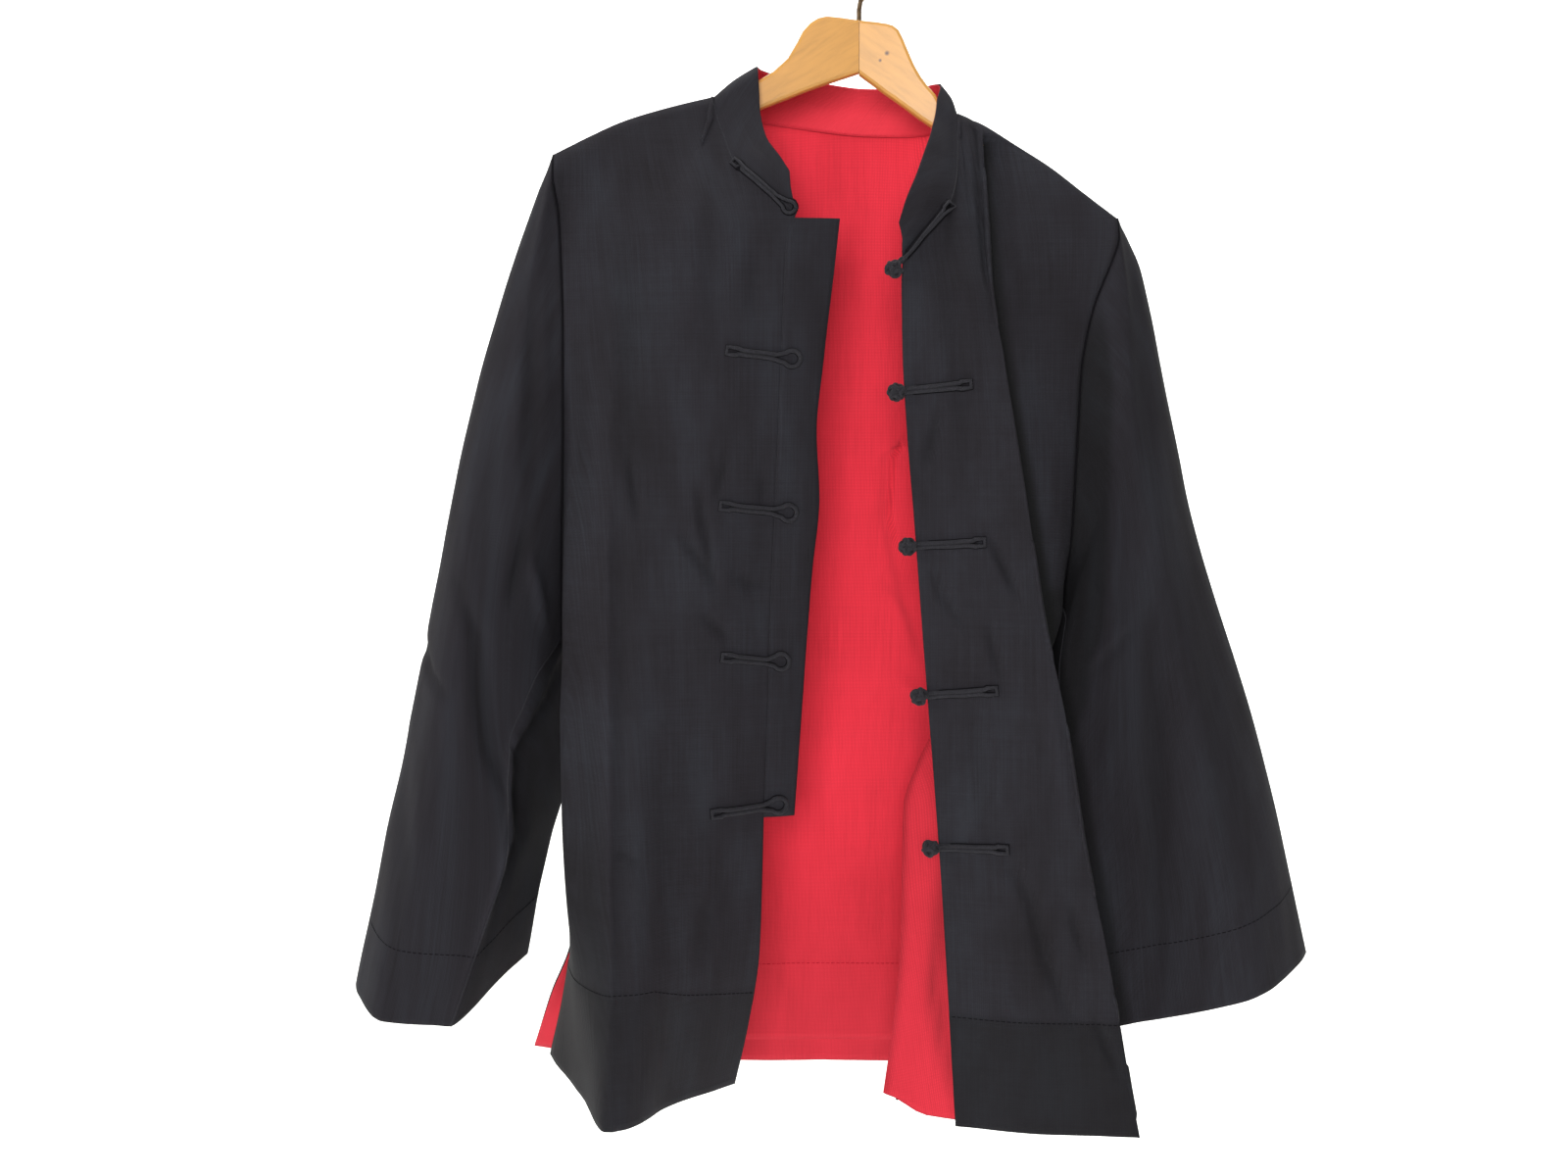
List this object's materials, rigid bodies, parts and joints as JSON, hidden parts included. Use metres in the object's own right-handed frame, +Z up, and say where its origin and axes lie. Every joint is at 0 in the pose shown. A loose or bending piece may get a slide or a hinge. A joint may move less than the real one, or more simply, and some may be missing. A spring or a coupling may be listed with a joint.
{
  "type": "mandarin collar jacket on a wooden hanger",
  "caption": "Dark cotton jacket with a stand collar, frog closures and a red lining, hanging open on a flat wooden hanger.",
  "frame": {"origin": "where the hook's inner top rests on its rail", "axes": "+Z up, the jacket's front faces -Y, the wearer's left side is +X"},
  "size_m": [0.73, 0.2031, 0.8845],
  "materials": {
    "dark_cloth": "matte woven cotton",
    "red_lining": "matte woven cotton",
    "cloth_cord": "rolled cotton cord",
    "beech": "clear lacquered beech",
    "steel_wire": "dull wire"
  },
  "bodies": {
    "root": {"back": "dark_cloth", "front_right": "dark_cloth", "front_left": "dark_cloth", "collar": "dark_cloth", "underlap": "dark_cloth", "sleeve_right": "dark_cloth", "sleeve_left": "dark_cloth", "back_lining": "red_lining", "front_left_lining": "red_lining", "collar_lining": "red_lining", "loop_1": "cloth_cord", "loop_2": "cloth_cord", "loop_3": "cloth_cord", "loop_4": "cloth_cord", "loop_5": "cloth_cord", "tail_1": "cloth_cord", "tail_2": "cloth_cord", "tail_3": "cloth_cord", "tail_4": "cloth_cord", "tail_5": "cloth_cord", "knot_1": "cloth_cord", "knot_2": "cloth_cord", "knot_3": "cloth_cord", "knot_4": "cloth_cord", "knot_5": "cloth_cord", "hanger_arm_right": "beech", "hanger_arm_left": "beech", "hook": "steel_wire"}
  },
  "joints": []
}
